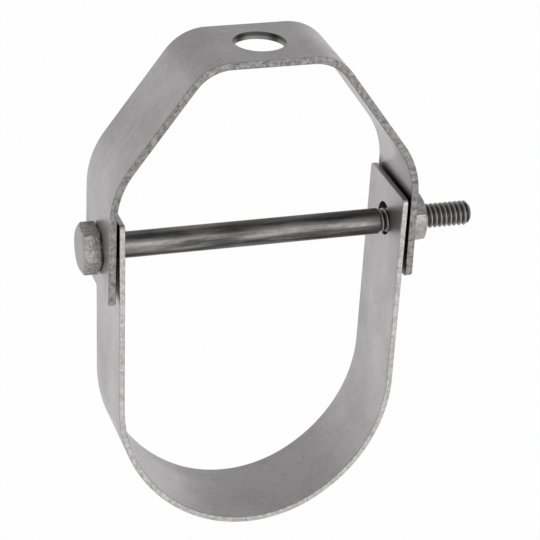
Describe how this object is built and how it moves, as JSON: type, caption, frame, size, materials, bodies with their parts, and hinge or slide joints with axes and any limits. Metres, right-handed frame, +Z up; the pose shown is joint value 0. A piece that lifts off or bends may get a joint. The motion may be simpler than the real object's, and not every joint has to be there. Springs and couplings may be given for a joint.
{
  "type": "clevis pipe hanger",
  "caption": "Adjustable clevis pipe hanger: a folded steel yoke hung from a rod, with a U strap bolted inside its ears to cradle a pipe.",
  "frame": {"origin": "centre of the rod hole, on the top face of the yoke", "axes": "+Z up along the hanger rod, +X along the cross bolt from its head to its nut, Y across the straps' width, along the pipe"},
  "size_m": [0.0988, 0.0232, 0.1249],
  "materials": {
    "strap_steel": "satin",
    "bolt_steel": "satin"
  },
  "bodies": {
    "yoke": {"yoke": "strap_steel"},
    "u_strap": {"u_strap": "strap_steel"},
    "bolt": {"cross_bolt": "bolt_steel"},
    "nut": {"nut": "bolt_steel"}
  },
  "joints": [
    {"name": "strap_swing", "type": "hinge", "parent": "yoke", "child": "u_strap", "pos_m": [0, 0, -0.0495], "axis": [1, 0, 0], "range_deg": [-100, 100]},
    {"name": "bolt_turn", "type": "hinge", "parent": "yoke", "child": "bolt", "pos_m": [0, 0, -0.0495], "axis": [-1, 0, 0], "range_deg": [0, 3240]},
    {"name": "nut_travel", "type": "slide", "parent": "yoke", "child": "nut", "axis": [1, 0, 0], "range_m": [0, 0.01144]}
  ],
  "couplings": [
    {"joint": "nut_travel", "follows": "bolt_turn", "m_per_rad": 0.00020213}
  ]
}
